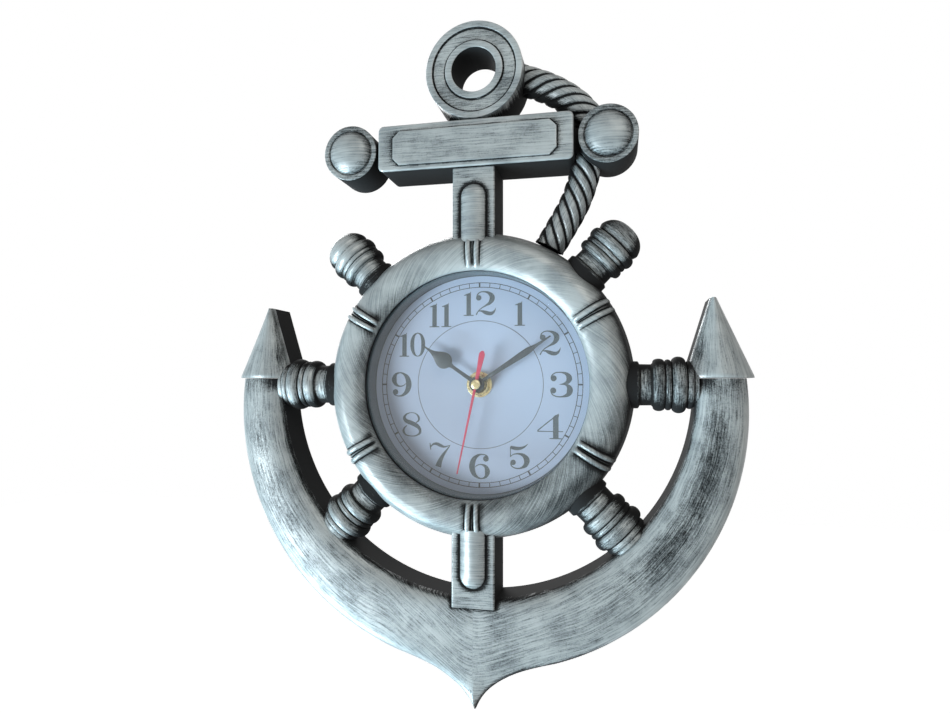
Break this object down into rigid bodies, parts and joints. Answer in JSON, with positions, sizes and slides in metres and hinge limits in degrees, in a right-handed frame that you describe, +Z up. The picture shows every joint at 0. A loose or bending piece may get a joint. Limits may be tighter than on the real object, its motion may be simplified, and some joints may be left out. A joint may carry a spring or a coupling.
{
  "type": "wall clock",
  "caption": "Anchor-shaped wall clock with a ship's wheel bezel, rope, turned spokes, a numbered dial and three hands driven by a geared quartz movement.",
  "frame": {"origin": "on the wall plane, on the axis of the hands", "axes": "+X to the right seen from the front, -Y out of the wall towards the viewer, +Z up"},
  "size_m": [0.261, 0.0406, 0.3406],
  "materials": {
    "antique_silver": "black moulded plastic with silver paint dry-brushed along the forms, satin",
    "grey_plastic": "smooth slate grey moulded plastic",
    "lens_glass": "clear flat glass",
    "dial_card": "pale blue-white printed card, satin",
    "gasket_rubber": "black rubber",
    "plated_steel": "zinc plated",
    "black_plastic": "black moulded plastic",
    "white_plastic": "natural acetal",
    "board": "green circuit board",
    "coil_copper": "enamelled copper winding",
    "brass": "polished brass",
    "battery_jacket": "plain dark jacket",
    "hand_paint": "dark slate paint on aluminium",
    "red_paint": "red paint on aluminium"
  },
  "bodies": {
    "clock": {"anchor_arms": "antique_silver", "left_fluke": "antique_silver", "right_fluke": "antique_silver", "upper_shank": "antique_silver", "lower_shank": "antique_silver", "stock": "antique_silver", "left_knob": "antique_silver", "right_knob": "antique_silver", "top_eye": "antique_silver", "upper_rope": "antique_silver", "lower_rope": "antique_silver", "wheel_rim": "antique_silver", "spoke_right": "antique_silver", "spoke_left": "antique_silver", "spoke_upper_right": "antique_silver", "spoke_upper_left": "antique_silver", "spoke_lower_right": "antique_silver", "spoke_lower_left": "antique_silver", "clock_housing": "grey_plastic", "lens": "lens_glass", "dial": "dial_card", "rubber_gasket": "gasket_rubber", "hanger_plate": "plated_steel", "housing_screw_1": "plated_steel", "housing_screw_2": "plated_steel", "housing_screw_3": "plated_steel", "housing_screw_4": "plated_steel", "movement_case": "black_plastic", "movement_cover": "black_plastic", "train_plate": "white_plastic", "circuit_board": "board", "coil": "coil_copper", "stator": "plated_steel", "centre_bush": "brass", "dial_washer": "brass", "centre_nut": "brass", "battery": "battery_jacket", "positive_contact": "plated_steel", "negative_contact": "plated_steel"},
    "minute_arbor": {"minute_wheel": "white_plastic", "minute_hand": "hand_paint"},
    "hour_arbor": {"hour_wheel": "white_plastic", "hour_hand": "hand_paint"},
    "second_arbor": {"seconds_wheel": "white_plastic", "second_hand": "red_paint", "hand_cap": "brass"},
    "third_arbor": {"third_wheel": "white_plastic"},
    "intermediate_arbor": {"intermediate_wheel": "white_plastic"},
    "rotor_arbor": {"rotor": "black_plastic"},
    "setting_arbor": {"setting_wheel": "white_plastic", "setting_knob": "black_plastic"}
  },
  "joints": [
    {"name": "minute_turn", "type": "hinge", "parent": "clock", "child": "minute_arbor", "pos_m": [0, -0.028, 0], "axis": [0, 1, 0], "continuous": true},
    {"name": "hour_turn", "type": "hinge", "parent": "clock", "child": "hour_arbor", "pos_m": [0, -0.026, 0], "axis": [0, 1, 0], "continuous": true},
    {"name": "second_turn", "type": "hinge", "parent": "clock", "child": "second_arbor", "pos_m": [0, -0.03, 0], "axis": [0, 1, 0], "continuous": true},
    {"name": "third_turn", "type": "hinge", "parent": "clock", "child": "third_arbor", "pos_m": [0.00832, -0.009, 0.00303], "axis": [0, 1, 0], "continuous": true},
    {"name": "intermediate_turn", "type": "hinge", "parent": "clock", "child": "intermediate_arbor", "pos_m": [-0.00682, -0.006, 0.00248], "axis": [0, 1, 0], "continuous": true},
    {"name": "rotor_turn", "type": "hinge", "parent": "clock", "child": "rotor_arbor", "pos_m": [-0.01118, -0.007, 0.00768], "axis": [0, 1, 0], "continuous": true},
    {"name": "setting_turn", "type": "hinge", "parent": "clock", "child": "setting_arbor", "pos_m": [-0.0016, -0.012, 0.00906], "axis": [0, 1, 0], "continuous": true}
  ],
  "couplings": [
    {"joint": "hour_turn", "follows": "minute_turn", "ratio": 0.083333},
    {"joint": "second_turn", "follows": "minute_turn", "ratio": 60},
    {"joint": "third_turn", "follows": "minute_turn", "ratio": -8},
    {"joint": "intermediate_turn", "follows": "minute_turn", "ratio": -300},
    {"joint": "rotor_turn", "follows": "minute_turn", "ratio": 1800},
    {"joint": "setting_turn", "follows": "minute_turn", "ratio": -0.33333}
  ]
}
